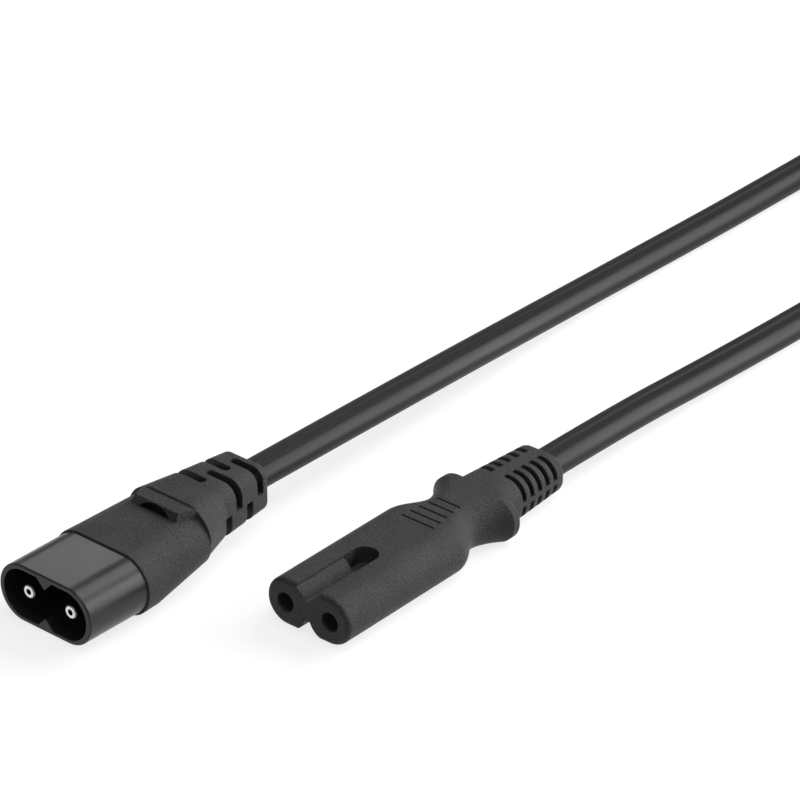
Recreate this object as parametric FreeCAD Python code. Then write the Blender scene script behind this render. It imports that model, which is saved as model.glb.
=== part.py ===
import FreeCAD
import Part

import math
import os

# A mains extension lead for small appliances: one flat twin cord with a moulded figure eight plug on one
# end and a moulded figure eight connector on the other. The cord is shown folded into a tied hank behind
# the two ends, which lie side by side with their faces to the front.
#
# Frame: millimetres, X across the contacts, Y from the faces back along the cord, Z up. The origin is
# under the middle of the two ends. Each end is first built in its own frame, with its face at y = 0, its
# middle at x = 0 and the surface that it lies on at z = 0, and is then moved to its place.

Vector = FreeCAD.Vector
ALONG = Vector(0, 1, 0)
UP = Vector(0, 0, 1)

# Contacts, the same on both ends
CONTACT_PITCH = 8.6
PIN_DIAMETER = 2.36
CRIMP_DIAMETER = 2.1
CRIMP_LENGTH = 4.2
STRAND_DIAMETER = 1.2
STRAND_INSIDE_CRIMP = 3.0
STRAND_SHOWING = 1.2

# Flat twin cord
CORD_WIDTH = 6.0
CORD_HEIGHT = 3.8
CORE_DIAMETER = 2.1
CORE_GAP = 0.06
CORE_TAIL = 2.2
JACKET_STEP = 0.4

# Plug: hard shroud
SHROUD_WIDTH = 18.8
SHROUD_HEIGHT = 9.6
SHROUD_CORNER = 4.7
SHROUD_SHOWING = 12.0
SHROUD_LIP_ROUND = 0.25
SPIGOT_STEP = 0.5
SPIGOT_LENGTH = 5.5
RECESS_WIDTH = 17.0
RECESS_HEIGHT = 8.2
RECESS_DEPTH = 12.4
KEY_BASE = 3.1
KEY_TIP_GAP = 5.0

# Plug: pins
PIN_SETBACK = 0.95
PIN_TIP_ROUND = 0.3
PIN_BORE = 1.0
PIN_BORE_DEPTH = 8.0
PIN_ROOT_DIAMETER = 2.7
PIN_COLLAR_DIAMETER = 3.4
PIN_COLLAR_LENGTH = 0.8

# Plug: soft overmould
PLUG_WIDTH = 19.4
PLUG_HEIGHT = 10.2
PLUG_CORNER = 5.0
PLUG_MOUTH_ROUND = 0.2
REST_LENGTH = 3.5
REST_TRIM = 0.15
REAR_WIDTH = 17.0
REAR_CORNER = 4.4
REAR_UNDERSIDE_RISE = 1.9
REAR_TOP_RISE = 0.3
SHOULDER_AT = 26.6
SHOULDER_RISE = 1.1
SHOULDER_CORNER = 5.0
SHOULDER_LENGTH = 6.2
PLUG_BOOT_RISE = 2.1
PLUG_BOOT_WIDTH = 11.8
PLUG_BOOT_HEIGHT = 9.0
PLUG_BOOT_CORNER = 2.8
PLUG_BOOT_LENGTH = 10.7
PLUG_BOOT_END_WIDTH = 9.3
PLUG_BOOT_END_HEIGHT = 7.8
PLUG_BOOT_END_CORNER = 2.0
PLUG_BOOT_END_ROUND = 0.7

# Plug: finger ridge with its thumbnail scoop
RIDGE_LENGTH = 3.9
RIDGE_REAR_WIDTH = 12.0
RIDGE_FRONT_WIDTH = 9.8
RIDGE_TOP_REAR_WIDTH = 10.9
RIDGE_TOP_FRONT_WIDTH = 8.8
RIDGE_SLOPE = 1.2
RIDGE_SINK = 0.8
RIDGE_LINE = 0.3
SCOOP_WIDTH = 6.0
SCOOP_HEIGHT = 1.0
SCOOP_DEPTH = 2.2
SCOOP_SINK = 0.6

# Plug: slots of the strain relief
PLUG_SLOTS = 4
PLUG_SLOT_PITCH = 2.65
PLUG_SLOT_WIDTH = 1.5
PLUG_FIRST_SLOT = 0.6
PLUG_SLOT_OVERLAP = 1.05
PLUG_SLOT_WALL = 0.8

# Connector: soft overmould
CONNECTOR_WIDTH = 16.0
CONNECTOR_HEIGHT = 7.9
FACE_ROUND = 0.8
HOLE_DIAMETER = 3.06
HOLE_ENTRY_ROUND = 0.15
LOBE_SPACING = 8.1
KEY_SLOT_WIDTH = 4.4
KEY_SLOT_LENGTH = 15.1
KEY_WEB = 3.2
POCKET_DEPTH = 0.5
NECK_AT = 26.3
WAIST_AT = 32.7
WAIST_WIDTH = 10.6
FLANGE_AT = 38.5
FLANGE_THICKNESS = 1.3
NECK_STEPS = 4
NECK_FULLNESS = 0.9
CONNECTOR_BOOT_WIDTH = 10.6
CONNECTOR_BOOT_HEIGHT = 7.6
CONNECTOR_BOOT_CORNER = 3.0
CONNECTOR_BOOT_LENGTH = 15.2
CONNECTOR_BOOT_END_WIDTH = 9.2
CONNECTOR_BOOT_END_HEIGHT = 6.6
CONNECTOR_BOOT_END_CORNER = 2.9
CONNECTOR_BOOT_END_ROUND = 0.7

# Connector: grip lines on top of the neck
GRIP_LINES = 5
GRIP_PITCH = 1.8
GRIP_FIRST = 25.2
GRIP_FIRST_LENGTH = 6.3
GRIP_LAST_LENGTH = 4.6
GRIP_LINE_WIDTH = 0.35
GRIP_LINE_DEPTH = 0.25

# Connector: slots of the strain relief
CONNECTOR_SLOTS = 5
CONNECTOR_SLOT_PITCH = 2.0
CONNECTOR_SLOT_WIDTH = 1.0
CONNECTOR_FIRST_SLOT = 4.8
CONNECTOR_SLOT_WALL = 0.7
TOP_BRIDGE = 2.2
SIDE_BRIDGE = 0.8

# Connector: contacts and their rigid carrier
INSERT_AT = 3.2
INSERT_LENGTH = 13.2
INSERT_LIP = 0.6
INSERT_TUBE_DIAMETER = 5.0
INSERT_WEB = 1.8
INSERT_WEB_LENGTH = 6.0
SLEEVE_DIAMETER = 3.5
SLEEVE_WALL = 0.5
SLEEVE_SETBACK = 0.4
SLEEVE_SLIT = 0.4
SLEEVE_SLIT_LENGTH = 9.0

# Places of the two ends: the connector lies beside and behind the plug, turned a little towards it
CONNECTOR_ASIDE = 29.1
CONNECTOR_BEHIND = 25.2
CONNECTOR_TURN = 1.2

# Straight lead of the cord behind each end
PLUG_CORD_LEAD = 40.9
CONNECTOR_CORD_LEAD = 32.0

# Hank and tie
HANK_INNER_BEND = 18.0
HANK_TURNS_ACROSS = 3
HANK_LAYERS = 2
HANK_RUN = 100.0
HANK_START = 192.0
HANK_TAIL = 12.0
TIE_WIDTH = 12.0
TIE_THICKNESS = 0.6

# Share of a run that an arc takes, and of a side that a rounded corner may take
ARC_SHARE = 0.45
CORNER_SHARE = 0.495
OVERSHOOT = 2.0

# Worked out from the values above
PLUG_AXIS = PLUG_HEIGHT / 2
CONNECTOR_AXIS = CONNECTOR_HEIGHT / 2
SHROUD_LENGTH = SHROUD_SHOWING + SPIGOT_LENGTH
REAR_TOP = PLUG_HEIGHT + REAR_TOP_RISE
SHOULDER_TOP = REAR_TOP + SHOULDER_RISE
RIDGE_FRONT = SHOULDER_AT - RIDGE_LENGTH
SCOOP_FRONT = RIDGE_FRONT + RIDGE_SLOPE * RIDGE_SINK / (SHOULDER_RISE + RIDGE_SINK)
PLUG_CORD_AXIS = PLUG_AXIS + PLUG_BOOT_RISE
PLUG_BOOT_AT = SHOULDER_AT + SHOULDER_LENGTH
PLUG_JACKET_AT = PLUG_BOOT_AT + JACKET_STEP
PLUG_LENGTH = PLUG_BOOT_AT + PLUG_BOOT_LENGTH
CONNECTOR_BOOT_AT = FLANGE_AT + FLANGE_THICKNESS
CONNECTOR_JACKET_AT = FLANGE_AT + JACKET_STEP
CONNECTOR_LENGTH = CONNECTOR_BOOT_AT + CONNECTOR_BOOT_LENGTH
PLUG_X = (PLUG_WIDTH - CONNECTOR_WIDTH) / 4 - CONNECTOR_ASIDE / 2
CONNECTOR_X = PLUG_X + CONNECTOR_ASIDE
PLUG_Y = -(CONNECTOR_BEHIND + CONNECTOR_LENGTH) / 2
CONNECTOR_Y = PLUG_Y + CONNECTOR_BEHIND
PLUG_CRIMP_AT = SHROUD_LENGTH + PIN_COLLAR_LENGTH
CONNECTOR_CRIMP_AT = INSERT_AT + INSERT_LENGTH
CORE_SPREAD = (CORE_DIAMETER + CORE_GAP) / 2
HANK_HEIGHT = HANK_LAYERS * CORD_WIDTH
HANK_OUTER_BEND = HANK_INNER_BEND + (HANK_TURNS_ACROSS - 1) * CORD_HEIGHT


def outline(width, height, corner, y, middle):
    """Rounded rectangle in the plane y, about x = 0 and the height middle."""
    reach = min(corner, CORNER_SHARE * width, CORNER_SHARE * height)
    centre_x = width / 2 - reach
    centre_z = height / 2 - reach

    def point(side, rise, turn):
        angle = math.radians(turn)
        x = side * centre_x + reach * math.cos(angle)
        z = middle + rise * centre_z + reach * math.sin(angle)
        return Vector(x, y, z)

    corners = ((1, 1, 0), (-1, 1, 90), (-1, -1, 180), (1, -1, 270))
    edges = []
    for index, (side, rise, turn) in enumerate(corners):
        start = point(side, rise, turn)
        end = point(side, rise, turn + 90)
        edges.append(Part.Arc(start, point(side, rise, turn + 45), end).toShape())
        edges.append(Part.LineSegment(end, point(*corners[(index + 1) % 4])).toShape())
    return Part.Wire(edges)


def block(width, height, corner, start, end, middle):
    """Rounded bar along Y."""
    face = Part.Face(outline(width, height, corner, start, middle))
    return face.extrude(ALONG * (end - start))


def loft(sections, ruled=True):
    """Solid through a list of (width, height, corner, y, middle)."""
    wires = [outline(*section) for section in sections]
    return Part.makeLoft(wires, True, ruled)


def rod(diameter, start, end, x, z):
    """Cylinder along Y."""
    return Part.makeCylinder(diameter / 2, end - start, Vector(x, start, z), ALONG)


def box(low, high):
    """Box between two corners."""
    size = Vector(*high) - Vector(*low)
    return Part.makeBox(size.x, size.y, size.z, Vector(*low))


def prism(points, direction):
    """Flat polygon pushed along a direction."""
    corners = [Vector(*point) for point in points]
    return Part.Face(Part.makePolygon(corners + corners[:1])).extrude(direction)


def edges_in_plane(shape, y):
    """Edges of a shape that lie in the plane y."""
    return [edge for edge in shape.Edges if abs(edge.BoundBox.YMin - y) + abs(edge.BoundBox.YMax - y) < 1e-6]


def contact_sides():
    """Middle of each contact, line first."""
    return (-CONTACT_PITCH / 2, CONTACT_PITCH / 2)


def shroud_recess():
    """Space inside the shroud: a rounded slot with a V key standing into it from above and below."""
    space = block(RECESS_WIDTH, RECESS_HEIGHT, RECESS_HEIGHT / 2, 0, RECESS_DEPTH, PLUG_AXIS)
    for side in (1, -1):
        tip = PLUG_AXIS + side * KEY_TIP_GAP / 2
        root = PLUG_AXIS + side * RECESS_HEIGHT / 2
        beyond = root + side * OVERSHOOT
        half = KEY_BASE / 2
        key = prism(((0, 0, tip), (half, 0, root), (half, 0, beyond), (-half, 0, beyond), (-half, 0, root)),
                    ALONG * RECESS_DEPTH)
        space = space.cut(key)
    return space


def plug_shroud():
    """Hard shell round the pins, with the spigot that the overmould grips."""
    shell = block(SHROUD_WIDTH, SHROUD_HEIGHT, SHROUD_CORNER, 0, SHROUD_SHOWING, PLUG_AXIS)
    shell = shell.makeFillet(SHROUD_LIP_ROUND, edges_in_plane(shell, 0))
    spigot = block(SHROUD_WIDTH - 2 * SPIGOT_STEP, SHROUD_HEIGHT - 2 * SPIGOT_STEP,
                   SHROUD_CORNER - SPIGOT_STEP, SHROUD_SHOWING, SHROUD_LENGTH, PLUG_AXIS)
    solid = shell.fuse(spigot).cut(shroud_recess())
    for x in contact_sides():
        solid = solid.cut(rod(PIN_ROOT_DIAMETER, RECESS_DEPTH, SHROUD_LENGTH, x, PLUG_AXIS))
    return solid


def plug_pin(x):
    """Hollow pin: rounded tip, thicker root in the shroud wall, collar behind it and crimp barrel."""
    stem = rod(PIN_DIAMETER, PIN_SETBACK, RECESS_DEPTH, x, PLUG_AXIS)
    stem = stem.makeFillet(PIN_TIP_ROUND, edges_in_plane(stem, PIN_SETBACK))
    root = rod(PIN_ROOT_DIAMETER, RECESS_DEPTH, SHROUD_LENGTH, x, PLUG_AXIS)
    collar = rod(PIN_COLLAR_DIAMETER, SHROUD_LENGTH, PLUG_CRIMP_AT, x, PLUG_AXIS)
    crimp = rod(CRIMP_DIAMETER, PLUG_CRIMP_AT, PLUG_CRIMP_AT + CRIMP_LENGTH, x, PLUG_AXIS)
    bore = rod(PIN_BORE, PIN_SETBACK, PIN_SETBACK + PIN_BORE_DEPTH, x, PLUG_AXIS)
    barrel = strand_space(x, PLUG_CRIMP_AT, PLUG_AXIS)
    return stem.fuse(root).fuse(collar).fuse(crimp).cut(bore).cut(barrel)


def strand_space(x, crimp_at, z):
    """Bore of a crimp barrel, open at the rear."""
    end = crimp_at + CRIMP_LENGTH
    return rod(STRAND_DIAMETER, end - STRAND_INSIDE_CRIMP, end, x, z)


def strands(x, crimp_at, z):
    """Bared copper, from inside the crimp barrel to the end of the insulation."""
    end = crimp_at + CRIMP_LENGTH
    return rod(STRAND_DIAMETER, end - STRAND_INSIDE_CRIMP, end + STRAND_SHOWING, x, z)


def core(x, crimp_at, z, jacket_at, cord_z):
    """Insulated core: straight from the strands, then an S bend in to its place in the flat cord."""
    side = 1 if x > 0 else -1
    start = crimp_at + CRIMP_LENGTH + STRAND_SHOWING
    near_pin = Vector(x, start + CORE_TAIL, z)
    near_cord = Vector(side * CORE_SPREAD, jacket_at - CORE_TAIL, cord_z)
    points = [Vector(x, start, z), near_pin, near_cord, Vector(side * CORE_SPREAD, jacket_at, cord_z)]
    circle = Part.Wire(Part.makeCircle(CORE_DIAMETER / 2, points[0], ALONG))
    spine, radii = rounded_path(points)
    return spine.makePipeShell([circle], True, True), radii


def rounded_path(points):
    """Straight runs joined by tangent arcs, each as large as its two runs allow, and the arc radii."""
    edges = []
    radii = []
    last = points[0]
    for before, corner, after in zip(points, points[1:], points[2:]):
        arriving = (corner - before).normalize()
        leaving = (after - corner).normalize()
        reach = ARC_SHARE * min((corner - before).Length, (after - corner).Length)
        half_turn = arriving.getAngle(leaving) / 2
        radius = reach / math.tan(half_turn)
        start = corner - arriving * reach
        end = corner + leaving * reach
        inwards = (leaving - arriving).normalize()
        middle = corner + inwards * radius * (1 / math.cos(half_turn) - 1)
        edges.append(Part.LineSegment(last, start).toShape())
        edges.append(Part.Arc(start, middle, end).toShape())
        radii.append(radius)
        last = end
    edges.append(Part.LineSegment(last, points[-1]).toShape())
    return Part.Wire(edges), radii


def finger_ridge():
    """Bar across the top with a sloping front and slanted ends."""
    low = trapezoid(RIDGE_FRONT_WIDTH, RIDGE_REAR_WIDTH, RIDGE_FRONT, REAR_TOP - RIDGE_SINK)
    high = trapezoid(RIDGE_TOP_FRONT_WIDTH, RIDGE_TOP_REAR_WIDTH, RIDGE_FRONT + RIDGE_SLOPE, SHOULDER_TOP)
    return Part.makeLoft([low, high], True, True)


def thumbnail_scoop():
    """Half-moon hollow in the front of the ridge, sunk a little below the panel in front of it."""
    radius = ((SCOOP_WIDTH / 2) ** 2 + SCOOP_HEIGHT ** 2) / (2 * SCOOP_HEIGHT)
    back = SCOOP_FRONT + SCOOP_DEPTH
    moon = rod(2 * radius, SCOOP_FRONT, back, 0, REAR_TOP + SCOOP_HEIGHT - radius)
    return moon.common(box((-SCOOP_WIDTH / 2, SCOOP_FRONT, REAR_TOP - SCOOP_SINK),
                           (SCOOP_WIDTH / 2, back, SHOULDER_TOP)))


def trapezoid(front_width, rear_width, front, z):
    """Level outline of the ridge at one height."""
    points = [Vector(-front_width / 2, front, z), Vector(front_width / 2, front, z),
              Vector(rear_width / 2, SHOULDER_AT, z), Vector(-rear_width / 2, SHOULDER_AT, z)]
    return Part.makePolygon(points + points[:1])


def plug_outside():
    """Body, shoulder and strain relief of the plug before anything is cut from them."""
    share = REST_LENGTH / (SHOULDER_AT - SHROUD_SHOWING)
    rest_width = PLUG_WIDTH + share * (REAR_WIDTH - PLUG_WIDTH)
    rest_top = PLUG_HEIGHT + share * REAR_TOP_RISE
    rest_corner = PLUG_CORNER + share * (REAR_CORNER - PLUG_CORNER)
    rear_height = REAR_TOP - REAR_UNDERSIDE_RISE
    rear_middle = (REAR_TOP + REAR_UNDERSIDE_RISE) / 2
    body = loft([(PLUG_WIDTH, PLUG_HEIGHT + REST_TRIM, PLUG_CORNER, SHROUD_SHOWING,
                  (PLUG_HEIGHT - REST_TRIM) / 2),
                 (rest_width, rest_top + REST_TRIM, rest_corner, SHROUD_SHOWING + REST_LENGTH,
                  (rest_top - REST_TRIM) / 2),
                 (REAR_WIDTH, rear_height, REAR_CORNER, SHOULDER_AT, rear_middle)])
    body = body.makeFillet(PLUG_MOUTH_ROUND, edges_in_plane(body, SHROUD_SHOWING))
    body = body.cut(box((-PLUG_WIDTH, 0, -OVERSHOOT), (PLUG_WIDTH, SHOULDER_AT, 0)))
    shoulder_height = SHOULDER_TOP - REAR_UNDERSIDE_RISE
    shoulder_middle = (SHOULDER_TOP + REAR_UNDERSIDE_RISE) / 2
    boot_front = (PLUG_BOOT_WIDTH, PLUG_BOOT_HEIGHT, PLUG_BOOT_CORNER, PLUG_BOOT_AT, PLUG_CORD_AXIS)
    boot_end = (PLUG_BOOT_END_WIDTH, PLUG_BOOT_END_HEIGHT, PLUG_BOOT_END_CORNER, PLUG_LENGTH, PLUG_CORD_AXIS)
    shoulder_front = (REAR_WIDTH, shoulder_height, SHOULDER_CORNER, SHOULDER_AT, shoulder_middle)
    shoulder = loft([shoulder_front, boot_front])
    boot = loft([boot_front, boot_end])
    boot = boot.makeFillet(PLUG_BOOT_END_ROUND, edges_in_plane(boot, PLUG_LENGTH))
    return body.fuse(shoulder).fuse(boot).fuse(finger_ridge())


def plug_boot_slots():
    """Staggered slots with round ends: odd ones cut top left and bottom right, even ones the other way."""
    inner_width = CORD_WIDTH + 2 * PLUG_SLOT_WALL
    inner_height = CORD_HEIGHT + 2 * PLUG_SLOT_WALL
    slots = []
    for index in range(PLUG_SLOTS):
        y = PLUG_BOOT_AT + PLUG_FIRST_SLOT + index * PLUG_SLOT_PITCH
        low = y - PLUG_SLOT_WIDTH / 2
        high = y + PLUG_SLOT_WIDTH / 2
        kept = block(inner_width, inner_height, PLUG_SLOT_WALL, low - OVERSHOOT, high + OVERSHOOT,
                     PLUG_CORD_AXIS)
        top_side = -1 if index % 2 == 0 else 1
        for rise in (1, -1):
            side = top_side * rise
            far_x = side * PLUG_BOOT_WIDTH
            near_x = side * (PLUG_SLOT_WIDTH / 2 - PLUG_SLOT_OVERLAP)
            low_z, high_z = sorted((PLUG_CORD_AXIS, PLUG_CORD_AXIS + rise * PLUG_BOOT_HEIGHT))
            slab = box((min(near_x, far_x), low, low_z), (max(near_x, far_x), high, high_z))
            end = Part.makeCylinder(PLUG_SLOT_WIDTH / 2, high_z - low_z, Vector(near_x, y, low_z))
            slots.append(slab.fuse(end).cut(kept))
    return slots


def plug_body(inner):
    """Soft overmould of the plug, moulded round the shroud, the pins, the cores and the cord."""
    solid = plug_outside()
    line = rod(2 * RIDGE_LINE, -RIDGE_TOP_REAR_WIDTH / 2, RIDGE_TOP_REAR_WIDTH / 2, 0, 0)
    line.rotate(Vector(0, 0, 0), UP, 90)
    line.translate(Vector(0, SHOULDER_AT, SHOULDER_TOP))
    for cutter in plug_boot_slots() + [thumbnail_scoop(), line] + inner:
        solid = solid.cut(cutter)
    return solid


def connector_outside():
    """Lobed front, waisted neck, flange and strain relief before anything is cut from them."""
    front = block(CONNECTOR_WIDTH, CONNECTOR_HEIGHT, CONNECTOR_HEIGHT / 2, 0, NECK_AT, CONNECTOR_AXIS)
    front = front.makeFillet(FACE_ROUND, edges_in_plane(front, 0))
    flange = block(CONNECTOR_WIDTH, CONNECTOR_HEIGHT, CONNECTOR_HEIGHT / 2, FLANGE_AT, CONNECTOR_BOOT_AT,
                   CONNECTOR_AXIS)
    boot = loft([(CONNECTOR_BOOT_WIDTH, CONNECTOR_BOOT_HEIGHT, CONNECTOR_BOOT_CORNER, CONNECTOR_BOOT_AT,
                  CONNECTOR_AXIS),
                 (CONNECTOR_BOOT_END_WIDTH, CONNECTOR_BOOT_END_HEIGHT, CONNECTOR_BOOT_END_CORNER,
                  CONNECTOR_LENGTH, CONNECTOR_AXIS)])
    boot = boot.makeFillet(CONNECTOR_BOOT_END_ROUND, edges_in_plane(boot, CONNECTOR_LENGTH))
    return front.fuse(neck()).fuse(flange).fuse(boot)


def neck():
    """Finger scoops: the width falls from the body to the waist and comes back at the flange."""
    full = CONNECTOR_WIDTH
    sections = []
    for step in range(2 * NECK_STEPS + 1):
        turn = math.pi * step / NECK_STEPS
        if step < NECK_STEPS:
            y = NECK_AT + (WAIST_AT - NECK_AT) * step / NECK_STEPS
            share = (1 - math.cos(turn)) / 2
        else:
            y = WAIST_AT + (FLANGE_AT - WAIST_AT) * (step - NECK_STEPS) / NECK_STEPS
            share = math.sin(turn / 2) ** NECK_FULLNESS
        width = full - share * (full - WAIST_WIDTH)
        sections.append((width, CONNECTOR_HEIGHT, CONNECTOR_HEIGHT / 2, y, CONNECTOR_AXIS))
    return loft(sections, ruled=False)


def key_slot(rise):
    """Slot between the lobes, on top for rise 1 and underneath for rise -1, with a round end."""
    half = KEY_SLOT_WIDTH / 2
    floor = CONNECTOR_AXIS + rise * KEY_WEB / 2
    outside = CONNECTOR_AXIS + rise * CONNECTOR_HEIGHT
    end = KEY_SLOT_LENGTH - half
    low, high = sorted((floor, outside))
    slot = box((-half, -OVERSHOOT, low), (half, end, high))
    for side in (-1, 1):
        lobe = rod(CONNECTOR_HEIGHT, -OVERSHOOT, end - half, side * LOBE_SPACING / 2, CONNECTOR_AXIS)
        slot = slot.cut(lobe)
    round_end = Part.makeCylinder(half, high - low, Vector(0, end, low))
    return slot.fuse(round_end)


def deep_pocket():
    """Hole at the end of the top slot, a little deeper than the slot."""
    radius = KEY_SLOT_WIDTH / 2
    floor = CONNECTOR_AXIS + KEY_WEB / 2 - POCKET_DEPTH
    return Part.makeCylinder(radius, CONNECTOR_HEIGHT, Vector(0, KEY_SLOT_LENGTH - radius, floor))


def grip_lines():
    """Fine lines across the top of the neck, each shorter than the one before it."""
    top = CONNECTOR_HEIGHT
    lines = []
    for index in range(GRIP_LINES):
        y = GRIP_FIRST + index * GRIP_PITCH
        share = index / max(GRIP_LINES - 1, 1)
        half = (GRIP_FIRST_LENGTH + share * (GRIP_LAST_LENGTH - GRIP_FIRST_LENGTH)) / 2
        lines.append(box((-half, y - GRIP_LINE_WIDTH / 2, top - GRIP_LINE_DEPTH),
                         (half, y + GRIP_LINE_WIDTH / 2, top + OVERSHOOT)))
    return lines


def connector_boot_slots():
    """Rings of four slots, parted by bridges at the top, the bottom and both sides."""
    inner_width = CORD_WIDTH + 2 * CONNECTOR_SLOT_WALL
    inner_height = CORD_HEIGHT + 2 * CONNECTOR_SLOT_WALL
    reach = CONNECTOR_BOOT_WIDTH
    slots = []
    for index in range(CONNECTOR_SLOTS):
        y = CONNECTOR_BOOT_AT + CONNECTOR_FIRST_SLOT + index * CONNECTOR_SLOT_PITCH
        low = y - CONNECTOR_SLOT_WIDTH / 2
        high = y + CONNECTOR_SLOT_WIDTH / 2
        kept = block(inner_width, inner_height, inner_height / 2, low - OVERSHOOT, high + OVERSHOOT,
                     CONNECTOR_AXIS)
        for side in (-1, 1):
            for rise in (-1, 1):
                near = (side * TOP_BRIDGE / 2, CONNECTOR_AXIS + rise * SIDE_BRIDGE / 2)
                far = (side * reach, CONNECTOR_AXIS + rise * reach)
                slab = box((min(near[0], far[0]), low, min(near[1], far[1])),
                           (max(near[0], far[0]), high, max(near[1], far[1])))
                slots.append(slab.cut(kept))
    return slots


def connector_body(inner):
    """Soft overmould of the connector."""
    solid = connector_outside()
    cutters = [key_slot(1), key_slot(-1), deep_pocket()] + grip_lines() + connector_boot_slots() + inner
    for cutter in cutters:
        solid = solid.cut(cutter)
    for x in contact_sides():
        solid = solid.cut(rod(HOLE_DIAMETER, -OVERSHOOT, INSERT_AT, x, CONNECTOR_AXIS))
    mouths = [edge for edge in edges_in_plane(solid, 0) if is_hole_mouth(edge)]
    return solid.makeFillet(HOLE_ENTRY_ROUND, mouths)


def is_hole_mouth(edge):
    """True for the circle where a contact hole meets the face."""
    return hasattr(edge.Curve, "Radius") and abs(edge.Curve.Radius - HOLE_DIAMETER / 2) < 1e-6


def connector_insert():
    """Rigid carrier: one tube for each contact, joined by a web, with a lip in front of the sleeves."""
    middle = INSERT_AT + INSERT_WEB_LENGTH
    solid = box((-CONTACT_PITCH / 2, INSERT_AT, CONNECTOR_AXIS - INSERT_WEB / 2),
                (CONTACT_PITCH / 2, middle, CONNECTOR_AXIS + INSERT_WEB / 2))
    for x in contact_sides():
        solid = solid.fuse(rod(INSERT_TUBE_DIAMETER, INSERT_AT, CONNECTOR_CRIMP_AT, x, CONNECTOR_AXIS))
    for x in contact_sides():
        solid = solid.cut(rod(HOLE_DIAMETER, INSERT_AT - OVERSHOOT, INSERT_AT + INSERT_LIP, x, CONNECTOR_AXIS))
        sleeve_room = rod(SLEEVE_DIAMETER, INSERT_AT + INSERT_LIP, CONNECTOR_CRIMP_AT, x, CONNECTOR_AXIS)
        solid = solid.cut(sleeve_room)
    return solid


def connector_contact(x):
    """Spring sleeve, slit from the front so that it can open, with a crimp barrel behind."""
    front = INSERT_AT + INSERT_LIP + SLEEVE_SETBACK
    back_wall = CONNECTOR_CRIMP_AT - SLEEVE_WALL
    sleeve = rod(SLEEVE_DIAMETER, front, CONNECTOR_CRIMP_AT, x, CONNECTOR_AXIS)
    sleeve = sleeve.cut(rod(SLEEVE_DIAMETER - 2 * SLEEVE_WALL, front, back_wall, x, CONNECTOR_AXIS))
    slit = box((x - SLEEVE_SLIT / 2, front, CONNECTOR_AXIS),
               (x + SLEEVE_SLIT / 2, front + SLEEVE_SLIT_LENGTH, CONNECTOR_AXIS + SLEEVE_DIAMETER))
    crimp = rod(CRIMP_DIAMETER, CONNECTOR_CRIMP_AT, CONNECTOR_CRIMP_AT + CRIMP_LENGTH, x, CONNECTOR_AXIS)
    crimp = crimp.cut(strand_space(x, CONNECTOR_CRIMP_AT, CONNECTOR_AXIS))
    return sleeve.cut(slit).fuse(crimp)


def contact_space(x):
    """Room that the insert leaves free in front of and inside each sleeve."""
    return rod(SLEEVE_DIAMETER, INSERT_AT, CONNECTOR_CRIMP_AT, x, CONNECTOR_AXIS)


def plug_cord_points():
    """Route of the cord from inside the plug's strain relief down to the surface and on to the hank."""
    lying = CORD_HEIGHT / 2
    return [Vector(PLUG_X, PLUG_Y + PLUG_JACKET_AT, PLUG_CORD_AXIS),
            Vector(PLUG_X, PLUG_Y + PLUG_JACKET_AT + PLUG_CORD_LEAD, PLUG_CORD_AXIS),
            Vector(PLUG_X - 5.5, 90, lying),
            Vector(PLUG_X - 5.0, 124, lying),
            Vector(PLUG_X - 5.1, 156, lying),
            Vector(-HANK_OUTER_BEND, HANK_START - HANK_TAIL, TIE_THICKNESS + CORD_WIDTH / 2)]


def connector_cord_points():
    """Route of the cord from inside the connector's strain relief to the top of the hank."""
    lying = CORD_HEIGHT / 2
    return [on_connector_axis(CONNECTOR_JACKET_AT),
            on_connector_axis(CONNECTOR_JACKET_AT + CONNECTOR_CORD_LEAD),
            Vector(CONNECTOR_X - 2.2, 88, lying),
            Vector(CONNECTOR_X - 1.6, 118, lying),
            Vector(CONNECTOR_X + 3.0, 150, lying + 3.7),
            Vector(HANK_OUTER_BEND, HANK_START - HANK_TAIL, TIE_THICKNESS + HANK_HEIGHT - CORD_WIDTH / 2)]


def on_connector_axis(distance):
    """Point on the middle line of the placed connector, at a distance behind its face."""
    heading = FreeCAD.Rotation(UP, CONNECTOR_TURN).multVec(ALONG)
    return Vector(CONNECTOR_X, CONNECTOR_Y, CONNECTOR_AXIS) + heading * distance


def cord_tube(points, name):
    """Flat cord along its route, kept level, with its arc radii printed."""
    spine, radii = rounded_path(points)
    print(name, "arc radii", [round(radius, 1) for radius in radii])
    shell = Part.BRepOffsetAPI.MakePipeShell(spine)
    shell.setBiNormalMode(UP)
    shell.add(cord_section(points[0], (points[1] - points[0]).normalize()), False, False)
    shell.build()
    shell.makeSolid()
    tube = Part.Solid(shell.shape())
    expected = Part.Face(outline(CORD_WIDTH, CORD_HEIGHT, CORD_HEIGHT / 2, 0, 0)).Area * spine.Length
    print(name, "length", round(spine.Length, 1), "volume share", round(tube.Volume / expected, 4))
    return tube


def cord_section(start, heading):
    """Section of the cord at the start of its route, square to its heading."""
    section = outline(CORD_WIDTH, CORD_HEIGHT, CORD_HEIGHT / 2, 0, 0)
    turn = FreeCAD.Rotation(ALONG, heading)
    section.Placement = FreeCAD.Placement(start, turn)
    return section


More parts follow.
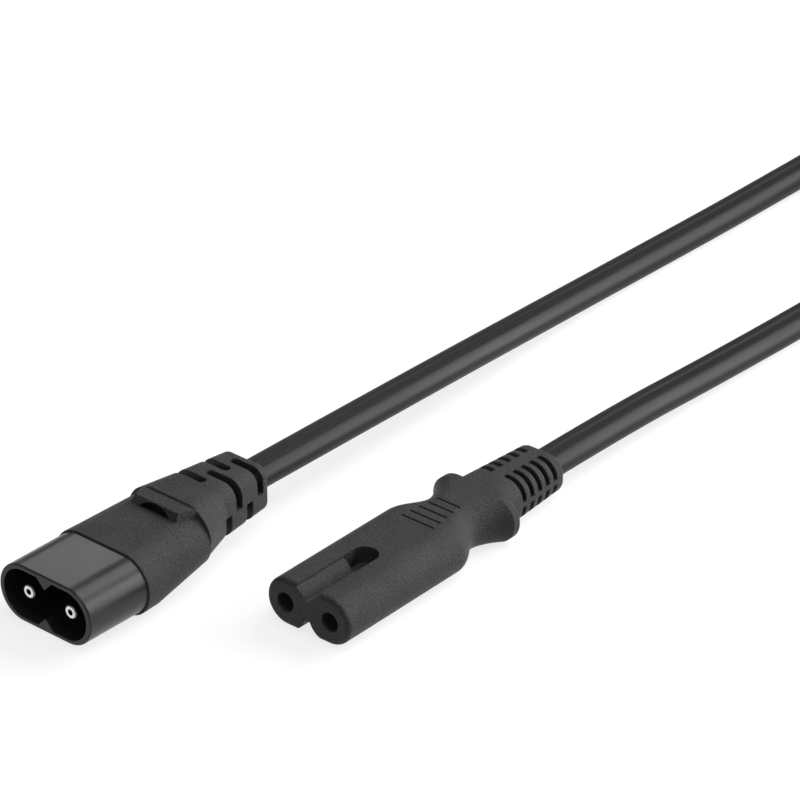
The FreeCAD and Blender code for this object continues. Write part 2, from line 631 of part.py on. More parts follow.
def racetrack(bend, front_bend, front_x, low, high):
    """Solid with straight sides and round ends, for the hank: bend at the far end, front_bend at the near."""
    near = HANK_START
    far = HANK_START + HANK_RUN
    edges = [
        Part.LineSegment(Vector(-bend, near, low), Vector(-bend, far, low)).toShape(),
        Part.Arc(Vector(-bend, far, low), Vector(0, far + bend, low), Vector(bend, far, low)).toShape(),
        Part.LineSegment(Vector(bend, far, low), Vector(bend, near, low)).toShape(),
        Part.Arc(Vector(front_x + front_bend, near, low), Vector(front_x, near - front_bend, low),
                 Vector(front_x - front_bend, near, low)).toShape(),
    ]
    if front_x - front_bend > -bend:
        front_end = Vector(front_x - front_bend, near, low)
        edges.append(Part.LineSegment(front_end, Vector(-bend, near, low)).toShape())
    return Part.Face(Part.Wire(edges)).extrude(UP * (high - low))


def cord_hank():
    """Outer shape of the folded cord: two layers of turns on edge, and the two tails that lead away."""
    low = TIE_THICKNESS
    high = TIE_THICKNESS + HANK_HEIGHT
    half = CORD_HEIGHT / 2
    outer = HANK_OUTER_BEND + half
    inner = HANK_INNER_BEND - half
    shift = CORD_HEIGHT / 2
    ring = racetrack(outer, outer - shift, shift, low, high)
    ring = ring.cut(racetrack(inner, inner, 0, low - OVERSHOOT, high + OVERSHOOT))
    lead_in = box((-outer, HANK_START - HANK_TAIL, low), (CORD_HEIGHT - outer, HANK_START, low + CORD_WIDTH))
    lead_out = box((outer - CORD_HEIGHT, HANK_START - HANK_TAIL, high - CORD_WIDTH), (outer, HANK_START, high))
    return ring.fuse(lead_in).fuse(lead_out)


def cord_tie():
    """Flat band round the middle of the hank."""
    half = HANK_OUTER_BEND + CORD_HEIGHT / 2
    middle = HANK_START + HANK_RUN / 2
    near = middle - TIE_WIDTH / 2
    far = middle + TIE_WIDTH / 2
    band = box((-half - TIE_THICKNESS, near, 0),
               (half + TIE_THICKNESS, far, HANK_HEIGHT + 2 * TIE_THICKNESS))
    return band.cut(box((-half, near - OVERSHOOT, TIE_THICKNESS),
                        (half, far + OVERSHOOT, TIE_THICKNESS + HANK_HEIGHT)))


def placed(shape, x, y, turn=0):
    """Copy of a shape turned about the middle of its face and moved from its own frame to its place."""
    copy = shape.copy()
    copy.rotate(Vector(0, 0, 0), UP, turn)
    copy.translate(Vector(x, y, 0))
    return copy


def taken_back(shape, x, y, turn=0):
    """Copy of a shape in the lead, seen in the own frame of the end at that place."""
    copy = shape.copy()
    copy.rotate(Vector(x, y, 0), UP, -turn)
    copy.translate(Vector(-x, -y, 0))
    return copy


def build_plug(cord):
    """All pieces of the plug, in its own frame."""
    pieces = {"plug_shroud": plug_shroud()}
    shroud_block = block(SHROUD_WIDTH - 2 * SPIGOT_STEP, SHROUD_HEIGHT - 2 * SPIGOT_STEP,
                         SHROUD_CORNER - SPIGOT_STEP, SHROUD_SHOWING - OVERSHOOT, SHROUD_LENGTH, PLUG_AXIS)
    inner = [shroud_block, cord]
    for name, x in zip(("line", "neutral"), contact_sides()):
        insulated, radii = core(x, PLUG_CRIMP_AT, PLUG_AXIS, PLUG_JACKET_AT, PLUG_CORD_AXIS)
        pieces["plug_pin_" + name] = plug_pin(x)
        pieces["plug_strands_" + name] = strands(x, PLUG_CRIMP_AT, PLUG_AXIS)
        pieces["plug_core_" + name] = insulated
        collar = rod(PIN_COLLAR_DIAMETER, SHROUD_LENGTH, PLUG_CRIMP_AT, x, PLUG_AXIS)
        crimp = rod(CRIMP_DIAMETER, PLUG_CRIMP_AT, PLUG_CRIMP_AT + CRIMP_LENGTH, x, PLUG_AXIS)
        inner += [collar, crimp, pieces["plug_strands_" + name], insulated]
    print("plug core arc radii", [round(radius, 1) for radius in radii])
    pieces["plug_body"] = plug_body(inner)
    return pieces


def build_connector(cord):
    """All pieces of the connector, in its own frame."""
    pieces = {"connector_insert": connector_insert()}
    inner = [cord, pieces["connector_insert"]]
    for name, x in zip(("line", "neutral"), contact_sides()):
        insulated, radii = core(x, CONNECTOR_CRIMP_AT, CONNECTOR_AXIS, CONNECTOR_JACKET_AT, CONNECTOR_AXIS)
        pieces["connector_contact_" + name] = connector_contact(x)
        pieces["connector_strands_" + name] = strands(x, CONNECTOR_CRIMP_AT, CONNECTOR_AXIS)
        pieces["connector_core_" + name] = insulated
        crimp = rod(CRIMP_DIAMETER, CONNECTOR_CRIMP_AT, CONNECTOR_CRIMP_AT + CRIMP_LENGTH, x, CONNECTOR_AXIS)
        inner += [contact_space(x), crimp, pieces["connector_strands_" + name], insulated]
    print("connector core arc radii", [round(radius, 1) for radius in radii])
    pieces["connector_body"] = connector_body(inner)
    return pieces


def build_all():
    """Every piece in its place, by name."""
    hank = cord_hank()
    plug_cord = cord_tube(plug_cord_points(), "plug_cord").cut(hank)
    connector_cord = cord_tube(connector_cord_points(), "connector_cord").cut(hank)
    pieces = {"plug_cord": plug_cord, "connector_cord": connector_cord, "cord_hank": hank,
              "cord_tie": cord_tie()}
    for name, shape in build_plug(taken_back(plug_cord, PLUG_X, PLUG_Y)).items():
        pieces[name] = placed(shape, PLUG_X, PLUG_Y)
    connector_place = (CONNECTOR_X, CONNECTOR_Y, CONNECTOR_TURN)
    for name, shape in build_connector(taken_back(connector_cord, *connector_place)).items():
        pieces[name] = placed(shape, *connector_place)
    return pieces


os.makedirs("parts", exist_ok=True)
for node, solid in build_all().items():
    solid.exportStep("parts/" + node + ".step")
    print(node, "solids", len(solid.Solids), "volume", round(solid.Volume, 1), "valid", solid.isValid())
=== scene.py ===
import math

import bpy
import numpy as np
from mathutils import Matrix, Vector

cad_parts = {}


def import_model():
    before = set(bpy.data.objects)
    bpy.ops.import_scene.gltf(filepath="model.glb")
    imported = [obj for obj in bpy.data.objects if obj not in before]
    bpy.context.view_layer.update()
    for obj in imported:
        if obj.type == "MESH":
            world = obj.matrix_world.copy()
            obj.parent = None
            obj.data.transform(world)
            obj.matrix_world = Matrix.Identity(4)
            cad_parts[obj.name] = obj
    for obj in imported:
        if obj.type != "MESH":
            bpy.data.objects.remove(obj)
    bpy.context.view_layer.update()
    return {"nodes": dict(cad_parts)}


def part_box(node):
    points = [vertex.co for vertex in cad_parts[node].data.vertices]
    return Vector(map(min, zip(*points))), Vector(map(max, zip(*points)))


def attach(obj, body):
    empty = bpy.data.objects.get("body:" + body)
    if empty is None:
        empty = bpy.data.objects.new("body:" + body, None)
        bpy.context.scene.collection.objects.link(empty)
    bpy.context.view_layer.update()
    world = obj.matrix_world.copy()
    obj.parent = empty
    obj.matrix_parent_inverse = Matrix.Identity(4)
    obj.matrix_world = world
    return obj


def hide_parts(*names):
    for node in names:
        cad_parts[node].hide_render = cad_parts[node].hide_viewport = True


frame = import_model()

MM = 0.001
WHITE = (1.0, 1.0, 1.0, 1.0)

# Camera: as in the photograph, about a point between the two ends, in degrees, metres and millimetres of lens
VIEW_AZIMUTH = 41.28
VIEW_ELEVATION = 29.65
VIEW_DISTANCE = 0.7
VIEW_TARGET = (0.02042, 0.0, 0.03531)
VIEW_SENSOR = 36.0
VIEW_LENS = 217.3
VIEW_NEAR = 0.01

# Light: grey level of the surroundings, and how white they are in a reflection
SKY_LEVEL = 0.03
WALL_SHARE = 0.15

# Floor: its own grey level, what is seen on top of it, and its reach each way in metres
FLOOR_LEVEL = 0.28
FLOOR_GLOW = 0.78
FLOOR_REACH = 3.0

# Soft lamps: azimuth from +X and elevation in degrees, distance and size in metres, power in watts
LAMPS = {
    "key": (56, 18, 1.0, 0.7, 9.8),
    "top": (0, 74, 1.0, 0.6, 3.4),
    "front": (-80, 28, 1.2, 0.6, 1.6),
    "rear": (138, 32, 1.2, 0.25, 0.75),
    "panel": (84, 42, 1.2, 0.7, 7.0),
}

# Flat twin cord, and the length over which it turns on edge for the hank
CORD_WIDTH = 6.0 * MM
CORD_HEIGHT = 3.8 * MM
CORD_GROOVE = 0.16 * MM
CORD_GROOVE_WIDTH = 0.55 * MM
CORD_TWIST = 26.0 * MM
CORD_ROUND_POINTS = 14
CORD_FLAT_POINTS = 13
CORD_STEPS_PER_POINT = 12

# Middle line of the free cord in millimetres, from each end to the hank
PLUG_CORD = [(-13.7, -6.9, 7.2), (-13.7, 34, 7.2), (-19.2, 90, 1.9), (-18.7, 124, 1.9), (-18.8, 144, 1.9),
             (-18.9, 162, 2.0)]
CONNECTOR_CORD = [(14.59, 23.99, 3.95), (13.92, 55.99, 3.95), (13.2, 88, 1.9), (13.8, 118, 1.9), (18.4, 150, 5.6)]

# Where the flat end of the pins stops, in millimetres along Y; past it the pins' sides are painted dark as painted
# shade
PIN_END_AT = -39.145

# Hank in millimetres: middle line of the cord, which stands on edge in it
HANK_START = 192.0
HANK_RUN = 100.0
HANK_BENDS = (25.6, 21.8, 18.0)
HANK_LAYERS = (3.6, 9.6)
ARC_POINTS = 4

# Tie round the hank: a band, and its tongue, which climbs over it and narrows to its tip
TIE_WIDTH = 12.0 * MM
TIE_THICKNESS = 0.6 * MM
TIE_CORNER = 1.4 * MM
TIE_TONGUE = 26.0 * MM
TIE_CLIMB = 3.0 * MM
TIE_LIFT = 1.05 * TIE_THICKNESS
TIE_TIP_TAPER = 0.75
TIE_STEPS = 260
# Its section, across it and through it, as shares of half its width and half its thickness
TIE_SECTION = ((-1, -0.6), (-1, 0.6), (-0.5, 1), (0, 1), (0.5, 1), (1, 0.6), (1, -0.6), (0, -1))

# Colours of the hidden pieces
BRASS, DULL_BRASS = (0.72, 0.56, 0.3), (0.5, 0.36, 0.18)
COPPER, DULL_COPPER = (0.72, 0.36, 0.2), (0.45, 0.2, 0.1)
BROWN, BLUE = (0.16, 0.07, 0.03), (0.03, 0.16, 0.45)


# Meshes

def make_piece(name, points, faces, places=()):
    """Object at the origin with the given points and faces, and texture places for the corners of its first faces."""
    mesh = bpy.data.meshes.new(name)
    mesh.from_pydata(points.tolist(), [], faces)
    if len(places):
        corners = np.zeros((len(mesh.loops), 2), np.float32)
        corners[:len(places)] = places
        mesh.uv_layers.new(name="surface").data.foreach_set("uv", corners.ravel())
    mesh.polygons.foreach_set("use_smooth", np.ones(len(mesh.polygons), bool))
    mesh.update()
    piece = bpy.data.objects.new(name, mesh)
    bpy.context.scene.collection.objects.link(piece)
    return piece


def unit(vectors):
    """Vectors scaled to length one."""
    return vectors / np.linalg.norm(vectors, axis=-1, keepdims=True)


def travelled(path):
    """Distance along a path at each of its points."""
    steps = np.linalg.norm(np.diff(path, axis=0), axis=1)
    return np.concatenate([[0.0], np.cumsum(steps)])


def ring_faces(rows, columns):
    """Faces between rows of points that each close on themselves. The corners of face (i, j) are the points (i, j),
    (i, j + 1), (i + 1, j + 1) and (i + 1, j)."""
    i, j = np.meshgrid(np.arange(rows - 1), np.arange(columns), indexing="ij")
    after = (j + 1) % columns
    corners = [i * columns + j, i * columns + after, (i + 1) * columns + after, (i + 1) * columns + j]
    return np.stack(corners, -1).reshape(-1, 4)


def ring_places(around, along):
    """Texture places of the corners of those faces: the value around at column j or j + 1, where there is one value
    more than columns, and the value along at row i or i + 1."""
    i, j = np.meshgrid(np.arange(len(along) - 1), np.arange(len(around) - 1), indexing="ij")
    u = np.stack([around[j], around[j + 1], around[j + 1], around[j]], -1)
    v = np.stack([along[i], along[i], along[i + 1], along[i + 1]], -1)
    return np.stack([u, v], -1).reshape(-1, 4, 2)


def swept(name, path, section, roll):
    """Tube: point (i, j) is path[i] + section[j].x * side[i] + section[j].y * rise[i], where side is level and
    square to the path, rise is square to both, and the two are turned about the path by roll[i]. The ends are
    closed by a fan about the section's middle."""
    rows, columns = len(path), len(section)
    along = unit(np.gradient(path, axis=0))
    level = unit(np.cross(along, (0.0, 0.0, 1.0)))
    upward = np.cross(level, along)
    turn = roll[:, None]
    side = np.cos(turn) * level + np.sin(turn) * upward
    rise = np.cos(turn) * upward - np.sin(turn) * level
    body = path[:, None] + section[None, :, :1] * side[:, None] + section[None, :, 1:] * rise[:, None]
    points = np.concatenate([body.reshape(-1, 3), path[:1], path[-1:]])
    ring, after = np.arange(columns), np.roll(np.arange(columns), -1)
    last_ring = (rows - 1) * columns
    first_middle, last_middle = rows * columns, rows * columns + 1
    start = np.stack([np.full(columns, first_middle), after, ring], -1)
    end = np.stack([np.full(columns, last_middle), last_ring + ring, last_ring + after], -1)
    faces = ring_faces(rows, columns).tolist() + start.tolist() + end.tolist()
    places = ring_places(travelled(np.concatenate([section, section[:1]])), travelled(path))
    return make_piece(name, points, faces, places.reshape(-1, 2))


def cord_section():
    """Closed outline of the flat cord: two half circles joined by two level lines, with a shallow groove of the
    form depth * exp(-(x / width) ** 2) along the middle of each, turning from the right over the top."""
    radius = CORD_HEIGHT / 2
    reach = CORD_WIDTH / 2 - radius
    turn = np.linspace(-math.pi / 2, math.pi / 2, CORD_ROUND_POINTS)
    right = np.stack([reach + radius * np.cos(turn), radius * np.sin(turn)], -1)
    x = np.linspace(reach, -reach, CORD_FLAT_POINTS + 2)[1:-1]
    top = np.stack([x, radius - CORD_GROOVE * np.exp(-(x / CORD_GROOVE_WIDTH) ** 2)], -1)
    return np.concatenate([right, top, -right, -top])


def route_path(name, control_points):
    """Points read from the smooth line of a route, a quadratic NURBS curve through its two ends."""
    curve = bpy.data.curves.new(name, "CURVE")
    curve.dimensions = "3D"
    spline = curve.splines.new("NURBS")
    spline.points.add(len(control_points) - 1)
    for point, place in zip(spline.points, control_points):
        point.co = (*place, 1.0)
    spline.order_u = 3
    spline.use_endpoint_u = True
    spline.resolution_u = CORD_STEPS_PER_POINT
    line = bpy.data.objects.new(name, curve)
    bpy.context.scene.collection.objects.link(line)
    mesh = bpy.data.meshes.new_from_object(line)
    path = np.empty(len(mesh.vertices) * 3)
    mesh.vertices.foreach_get("co", path)
    bpy.data.objects.remove(line)
    bpy.data.meshes.remove(mesh)
    return path.reshape(-1, 3)


# Cord

def hank_points():
    """Route of the folded cord. Runs go to and fro beside each other, from the outside in on the lower layer and
    back out on the upper one. Between two runs a half turn of radius r has its points where the tangents at
    equal steps meet, at the distance r / cos(step / 2), and each run ends r * tan(step / 2) before the turn."""
    low, high = HANK_LAYERS
    outer, middle, inner = HANK_BENDS
    places = [side * bend for bend in HANK_BENDS for side in (-1, 1)] + [-inner, middle, -middle, outer]
    climbing = 2 * len(HANK_BENDS) - 1
    step = math.pi / ARC_POINTS
    bends = [abs(after - x) / 2 for x, after in zip(places, places[1:])]
    insets = [0.0] + [bend * math.tan(step / 2) for bend in bends] + [0.0]
    points = []
    for index, x in enumerate(places):
        way = 1 if index % 2 == 0 else -1
        near, far = HANK_START, HANK_START + HANK_RUN
        start, end = (near, far) if way == 1 else (far, near)
        begins = low if index <= climbing else high
        ends = low if index < climbing else high
        first = start + way * insets[index]
        final = end - way * insets[index + 1]
        for share in (0.0, 0.5, 1.0):
            points.append((x, first + share * (final - first), begins + share * (ends - begins)))
        if index == len(bends):
            break
        centre = (x + places[index + 1]) / 2
        side = math.copysign(1.0, x - centre)
        reach = bends[index] / math.cos(step / 2)
        for number in range(ARC_POINTS):
            turn = step * (number + 0.5)
            points.append((centre + side * reach * math.cos(turn), end + way * reach * math.sin(turn), ends))
    return points


def cord():
    """The whole cord from the plug to the connector: flat where it lies free, on edge in the hank. Its roll is a
    quarter turn times 3 * s ** 2 - 2 * s ** 3, where s rises from 0 to 1 over the twist before the hank and falls
    again after it."""
    control = PLUG_CORD + hank_points() + CONNECTOR_CORD[::-1]
    path = route_path("cord_route", np.array(control) * MM)
    distance = travelled(path)
    in_hank = np.flatnonzero(path[:, 1] > HANK_START * MM)
    inside = np.minimum(distance - distance[in_hank[0]], distance[in_hank[-1]] - distance)
    share = np.clip(inside / CORD_TWIST + 1.0, 0.0, 1.0)
    roll = math.pi / 2 * share * share * (3 - 2 * share)
    piece = swept("cord", path, cord_section(), roll)
    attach(piece, "root")
    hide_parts("plug_cord", "connector_cord", "cord_hank")
    return piece, path, distance[-1]


def rounded_loop(distance, straights, radius, start):
    """Points and headings along a rounded rectangle, clockwise from the left end of its upper side. For each side,
    the line runs straight along the heading, and then a quarter circle turns it: after the angle b the point has
    gone radius * sin(b) along the heading and radius * (1 - cos(b)) to its right."""
    points = np.zeros((len(distance), 2))
    headings = np.zeros(len(distance))
    arc = math.pi / 2 * radius
    gone, turn, corner = 0.0, 0.0, np.array(start)
    for straight in straights:
        ahead = np.array([math.cos(turn), math.sin(turn)])
        right = np.array([math.sin(turn), -math.cos(turn)])
        on = (distance >= gone) & (distance < gone + straight)
        points[on] = corner + (distance[on, None] - gone) * ahead
        headings[on] = turn
        gone, corner = gone + straight, corner + straight * ahead
        on = (distance >= gone) & (distance <= gone + arc)
        bend = (distance[on, None] - gone) / radius
        points[on] = corner + radius * (np.sin(bend) * ahead + (1 - np.cos(bend)) * right)
        headings[on] = turn - bend[:, 0]
        gone, corner, turn = gone + arc, corner + radius * (ahead + right), turn - math.pi / 2
    return points, headings


def tie():
    """Band round the middle of the hank. Its middle line is a rounded rectangle, run round once and then on over
    itself for the tongue, where it is lifted. The section is carried along it, and its width narrows over the last
    half width by sqrt(1 - taper * t ** 2), where t rises from 0 to 1."""
    low, high = (np.array(corner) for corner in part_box("cord_tie"))
    half_width, _, half_height = (high - low - TIE_THICKNESS) / 2
    straight_x, straight_z = 2 * (half_width - TIE_CORNER), 2 * (half_height - TIE_CORNER)
    loop = 2 * straight_x + 2 * straight_z + 2 * math.pi * TIE_CORNER
    distance = np.linspace(0.0, loop + TIE_TONGUE, TIE_STEPS)
    start = (TIE_CORNER - half_width, half_height)
    line, heading = rounded_loop(distance % loop, (straight_x, straight_z) * 2, TIE_CORNER, start)
    outward = np.stack([-np.sin(heading), np.cos(heading)], -1)
    line += TIE_LIFT * np.clip((distance[:, None] - loop) / TIE_CLIMB + 1.0, 0.0, 1.0) * outward
    tip = 1 - np.clip((distance[-1] - distance) / (TIE_WIDTH / 2), 0.0, 1.0)
    width = TIE_WIDTH / 2 * np.sqrt(1 - TIE_TIP_TAPER * tip ** 2)
    across, through = np.array(TIE_SECTION, float).T
    x, z = np.moveaxis(line[:, None] + TIE_THICKNESS / 2 * through[:, None] * outward[:, None], -1, 0)
    body = np.stack([x, across * width[:, None], z], -1) + (low + high) / 2
    rows, columns = body.shape[:2]
    ring = np.arange(columns)
    # The line runs clockwise, so the corners of its faces are taken the other way round
    outwards = [0, 3, 2, 1]
    ends = [ring.tolist(), ((rows - 1) * columns + ring[::-1]).tolist()]
    faces = ring_faces(rows, columns)[:, outwards].tolist() + ends
    places = ring_places(np.append(across, across[0]) * TIE_WIDTH / 2, distance)[:, outwards]
    piece = make_piece("tie", body.reshape(-1, 3), faces, places.reshape(-1, 2))
    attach(piece, "root")
    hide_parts("cord_tie")
    return piece


# Materials

class Value:
    """Output of a shader node. Operators on it add Math nodes."""

    def __init__(self, finish, socket):
        self.finish = finish
        self.socket = socket

    def calculate(self, operation, first, second):
        return self.finish.node("ShaderNodeMath", {"operation": operation}, {0: first, 1: second})

    def __add__(self, other):
        return self.calculate("ADD", self, other)

    def __radd__(self, other):
        return self.calculate("ADD", other, self)

    def __sub__(self, other):
        return self.calculate("SUBTRACT", self, other)

    def __rsub__(self, other):
        return self.calculate("SUBTRACT", other, self)

    def __mul__(self, other):
        return self.calculate("MULTIPLY", self, other)

    def __rmul__(self, other):
        return self.calculate("MULTIPLY", other, self)

    def __gt__(self, other):
        return self.calculate("GREATER_THAN", self, other)


class Finish:
    """Shader of a material or of the world while it is made."""

    def __init__(self, owner, ending="ShaderNodeOutputMaterial"):
        owner.use_nodes = True
        self.owner = owner
        self.ending = ending
        self.tree = owner.node_tree
        self.tree.nodes.clear()

    @property
    def place(self):
        """Place on the object in metres."""
        return self.node("ShaderNodeTexCoord", output="Object")

    def node(self, kind, settings=None, inputs=None, output=0):
        """New node with its settings, then its sockets' values or links. Gives one of its outputs."""
        made = self.tree.nodes.new(kind)
        for name, value in (settings or {}).items():
            if name == "stops":
                self.set_stops(made.color_ramp, value)
            else:
                setattr(made, name, value)
        for name, value in (inputs or {}).items():
            if isinstance(value, Value):
                self.tree.links.new(value.socket, made.inputs[name])
            else:
                made.inputs[name].default_value = value
        return Value(self, made.outputs[output])

    def set_stops(self, ramp, stops):
        """Colour ramp stops as (place, grey level or colour)."""
        while len(ramp.elements) < len(stops):
            ramp.elements.new(0.5)
        for element, (place, level) in zip(ramp.elements, stops):
            element.position = place
            element.color = (level, level, level, 1.0) if isinstance(level, float) else (*level, 1.0)

    def noise(self, size, detail, roughness=0.5, place=None):
        """Smooth random value about 0.5 whose spots are about size metres across."""
        return self.node("ShaderNodeTexNoise", {"normalize": True},
                         {"Vector": place or self.place, "Scale": 1.0 / size, "Detail": detail,
                          "Roughness": roughness})

    def ramp(self, value, stops):
        """Colour that goes through the stops as the value rises from 0 to 1."""
        return self.node("ShaderNodeValToRGB", {"stops": stops}, {"Fac": value})

    def mix(self, share, first, second):
        """Colour between two others."""
        return self.node("ShaderNodeMix", {"data_type": "RGBA"}, {0: share, 6: first, 7: second}, output=2)

    def bump(self, height, distance, normal=None):
        """Normal of a surface raised by height times distance in metres."""
        inputs = {"Height": height, "Distance": distance}
        if normal is not None:
            inputs["Normal"] = normal
        return self.node("ShaderNodeBump", {}, inputs)

    def rounded(self, radius):
        """Normal of a surface with its edges rounded."""
        return self.node("ShaderNodeBevel", {"samples": 6}, {"Radius": radius})

    def rays(self):
        """Whether a ray comes from the camera, from a shiny surface or through a clear one."""
        kinds = ("Is Camera Ray", "Is Glossy Ray", "Is Transmission Ray")
        return [self.node("ShaderNodeLightPath", output=kind) for kind in kinds]

    def end(self, shader):
        """Ends the shader with the one given."""
        output = self.tree.nodes.new(self.ending)
        self.tree.links.new(shader.socket, output.inputs["Surface"])
        return self.owner

    def surface(self, inputs):
        """Ends the material with one Principled surface."""
        return self.end(self.node("ShaderNodeBsdfPrincipled", {}, inputs))


def new_finish(name):
    """Start of a procedural material."""
    return Finish(bpy.data.materials.new(name))


def black_moulding(name, level, grain_size, grain_depth, roughness, edge):
    """Soft black plastic from a spark-eroded mould: fine grain, faint clouds and slightly worn edges."""
    finish = new_finish(name)
    grain = finish.noise(grain_size, detail=3.0, roughness=0.6)
    clouds = finish.noise(6 * MM, detail=2.0)
    shade = finish.ramp(clouds * 0.3 + grain * 0.7, [(0.35, level * 0.62), (0.65, level * 1.38)])
    normal = finish.bump(grain, grain_depth, finish.rounded(edge))
    return finish.surface({"Base Color": shade, "Roughness": roughness + (clouds - 0.5) * 0.12,
                           "Specular IOR Level": 0.2, "Normal": normal})


def glossy_shroud():
    """Hard black plastic with a polished skin and very faint rubbing marks."""
    finish = new_finish("shroud_plastic")
    haze = finish.noise(9 * MM, detail=3.0)
    rubbed = finish.noise(0.5 * MM, detail=2.0)
    shade = finish.ramp(haze, [(0.3, (0.024, 0.024, 0.025)), (0.7, (0.029, 0.029, 0.03))])
    normal = finish.bump(rubbed, 0.004 * MM, finish.rounded(0.2 * MM))
    return finish.surface({"Base Color": shade, "Roughness": 0.31 + (haze - 0.5) * 0.1,
                           "Specular IOR Level": 0.32, "Normal": normal})


def plated_metal(name, light, dark, roughness):
    """Plated or drawn metal with fine turning lines and a little tarnish."""
    finish = new_finish(name)
    tarnish = finish.noise(1.2 * MM, detail=3.0)
    lines = finish.noise(0.12 * MM, detail=1.0)
    shade = finish.mix(finish.ramp(tarnish, [(0.45, 0.0), (0.75, 1.0)]), (*light, 1.0), (*dark, 1.0))
    return finish.surface({"Base Color": shade, "Metallic": 1.0, "Roughness": roughness + (tarnish - 0.5) * 0.15,
                           "Normal": finish.bump(lines, 0.003 * MM)})


def pin_nickel():
    """Nickel plated pin: bright brushed end, and darker sides, which are painted shade."""
    finish = new_finish("pin_nickel")
    along = finish.node("ShaderNodeSeparateXYZ", {}, {"Vector": finish.place}, output="Y")
    # Painted shade: past the flat end, the pin's sides get a dark grey instead of the bright nickel
    side = along > PIN_END_AT * MM
    brushed = finish.noise(0.1 * MM, detail=2.0)
    bright = finish.ramp(brushed, [(0.3, (0.88, 0.87, 0.85)), (0.7, (0.98, 0.97, 0.95))])
    shade = finish.mix(side, bright, (0.2, 0.195, 0.19, 1.0))
    return finish.surface({"Base Color": shade, "Metallic": 1.0, "Roughness": 0.55 - side * 0.2,
                           "Normal": finish.bump(brushed, 0.004 * MM)})


def smooth_insulation(name, colour):
    """Extruded insulation, nearly smooth."""
    finish = new_finish(name)
    cloud = finish.noise(1.5 * MM, detail=2.0)
    darker = tuple(0.8 * part for part in colour)
    shade = finish.mix(cloud, (*colour, 1.0), (*darker, 1.0))
    return finish.surface({"Base Color": shade, "Roughness": 0.4 + (cloud - 0.5) * 0.1})


def cord_jacket():
    """Satin black jacket: faint drawing lines along the cord and a slight unevenness."""
    finish = new_finish("cord_jacket")
    place = finish.node("ShaderNodeUVMap", {"uv_map": "surface"})
    stretched = finish.node("ShaderNodeMapping", {}, {"Vector": place, "Scale": (1.0, 0.03, 1.0)})
    lines = finish.noise(0.35 * MM, detail=2.0, place=stretched)
    dust = finish.noise(0.3 * MM, detail=3.0)
    waves = finish.noise(14 * MM, detail=1.0)
    shade = finish.ramp(waves * 0.5 + dust * 0.5, [(0.35, (0.005, 0.005, 0.0055)), (0.7, (0.008, 0.008, 0.0085))])
    normal = finish.bump(dust, 0.006 * MM, finish.bump(lines, 0.012 * MM))
    return finish.surface({"Base Color": shade, "Roughness": 0.46 + (waves - 0.5) * 0.1,
                           "Specular IOR Level": 0.27, "Normal": normal})


def woven_band():
    """Black woven band: crossing threads from two sine waves."""
    finish = new_finish("woven_band")
    place = finish.node("ShaderNodeUVMap", {"uv_map": "surface"})
    warp = finish.node("ShaderNodeTexWave", {"bands_direction": "X"}, {"Vector": place, "Scale": 330.0}, output="Fac")
    weft = finish.node("ShaderNodeTexWave", {"bands_direction": "Y"}, {"Vector": place, "Scale": 250.0}, output="Fac")
    threads = warp * weft
    fuzz = finish.noise(0.3 * MM, detail=3.0)
    shade = finish.ramp(threads * 0.7 + fuzz * 0.3, [(0.2, (0.012, 0.012, 0.013)), (0.9, (0.04, 0.04, 0.042))])
    return finish.surface({"Base Color": shade, "Roughness": 0.8 + (fuzz - 0.5) * 0.1,
                           "Normal": finish.bump(threads, 0.12 * MM)})


def dress(cord_piece, tie_piece):
    """Finish of every piece."""
    nodes = frame["nodes"]
    finishes = [
        (black_moulding("plug_overmould", level=0.048, grain_size=0.3 * MM, grain_depth=0.3 * MM, roughness=0.5,
                        edge=0.3 * MM), ["plug_body"]),
        (black_moulding("connector_overmould", level=0.044, grain_size=0.28 * MM, grain_depth=0.28 * MM,
                        roughness=0.48, edge=0.25 * MM), ["connector_body"]),
        (glossy_shroud(), ["plug_shroud"]),
        # Black plastic of the insert, its level lowered below the mouldings' as painted shade inside the contact
        # holes
        (black_moulding("carrier_plastic_and_hole_shade", level=0.015, grain_size=0.4 * MM, grain_depth=0.01 * MM, roughness=0.5,
                        edge=0.1 * MM), ["connector_insert"]),
        (pin_nickel(), ["plug_pin_line", "plug_pin_neutral"]),
        (plated_metal("contact_brass", light=BRASS, dark=DULL_BRASS, roughness=0.3),
         ["connector_contact_line", "connector_contact_neutral"]),
        (plated_metal("strand_copper", light=COPPER, dark=DULL_COPPER, roughness=0.35),
         ["plug_strands_line", "plug_strands_neutral", "connector_strands_line", "connector_strands_neutral"]),
        (smooth_insulation("core_brown", BROWN), ["plug_core_line", "connector_core_line"]),
        (smooth_insulation("core_blue", BLUE), ["plug_core_neutral", "connector_core_neutral"]),
    ]
    for material, names in finishes:
        for name in names:
            nodes[name].data.materials.clear()
            nodes[name].data.materials.append(material)
    cord_piece.data.materials.append(cord_jacket())
    tie_piece.data.materials.append(woven_band())


# Surroundings

def floor():
    """Plain white floor, as white as the background away from the shadows."""
    finish = new_finish("floor_white")
    camera_ray, glossy_ray, through_ray = finish.rays()
    seen = camera_ray + glossy_ray + through_ray
    matt = finish.node("ShaderNodeBsdfDiffuse", {}, {"Color": (FLOOR_LEVEL,) * 3 + (1.0,)})
    glow = finish.node("ShaderNodeEmission", {}, {"Color": WHITE, "Strength": seen * FLOOR_GLOW})
    material = finish.end(finish.node("ShaderNodeAddShader", {}, {0: matt, 1: glow}))
    corners = FLOOR_REACH * np.array([(-1, -1, 0), (1, -1, 0), (1, 1, 0), (-1, 1, 0)])
    piece = make_piece("floor", corners, [(0, 1, 2, 3)])
    piece.data.materials.append(material)


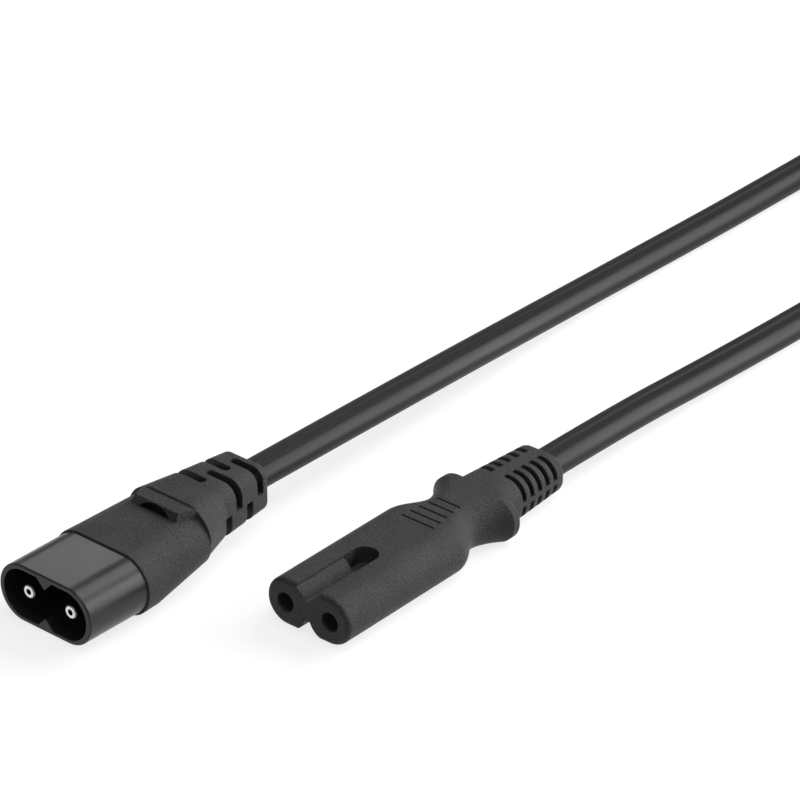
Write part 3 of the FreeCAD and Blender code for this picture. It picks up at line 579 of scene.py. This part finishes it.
def soft_light(name, azimuth, elevation, distance, size, power):
    """Square area lamp that looks at the object."""
    turn, lift = math.radians(azimuth), math.radians(elevation)
    away = Vector((math.cos(turn) * math.cos(lift), math.sin(turn) * math.cos(lift), math.sin(lift)))
    lamp = bpy.data.lights.new(name, "AREA")
    lamp.shape = "SQUARE"
    lamp.size = size
    lamp.energy = power
    holder = bpy.data.objects.new(name, lamp)
    bpy.context.scene.collection.objects.link(holder)
    holder.location = away * distance
    holder.rotation_mode = "QUATERNION"
    holder.rotation_quaternion = away.to_track_quat("Z", "Y")


def world():
    """Even grey light from walls that look white, and dimmer where a shiny surface shows them."""
    sky = bpy.data.worlds.new("studio")
    bpy.context.scene.world = sky
    finish = Finish(sky, "ShaderNodeOutputWorld")
    camera_ray, glossy_ray, through_ray = finish.rays()
    seen = camera_ray + through_ray + glossy_ray * WALL_SHARE
    level = SKY_LEVEL + seen * (1.0 - SKY_LEVEL)
    finish.end(finish.node("ShaderNodeBackground", {}, {"Color": WHITE, "Strength": level}))


def camera():
    """Camera at the photograph's angle."""
    azimuth, elevation = math.radians(VIEW_AZIMUTH), math.radians(VIEW_ELEVATION)
    back = Vector((math.sin(azimuth) * math.cos(elevation), -math.cos(azimuth) * math.cos(elevation),
                   math.sin(elevation)))
    right = Vector((math.cos(azimuth), math.sin(azimuth), 0))
    lens = bpy.data.cameras.new("camera")
    lens.sensor_width = VIEW_SENSOR
    lens.lens = VIEW_LENS
    lens.clip_start = VIEW_NEAR
    holder = bpy.data.objects.new("camera", lens)
    bpy.context.scene.collection.objects.link(holder)
    holder.rotation_mode = "QUATERNION"
    holder.rotation_quaternion = Matrix((right, back.cross(right), back)).transposed().to_quaternion()
    holder.location = Vector(VIEW_TARGET) + back * VIEW_DISTANCE
    bpy.context.scene.camera = holder


bpy.context.scene.view_settings.view_transform = "Standard"
camera()
world()
for lamp_name, settings in LAMPS.items():
    soft_light(lamp_name, *settings)
floor()
cord_piece, cord_path, cord_length = cord()
tie_piece = tie()
dress(cord_piece, tie_piece)
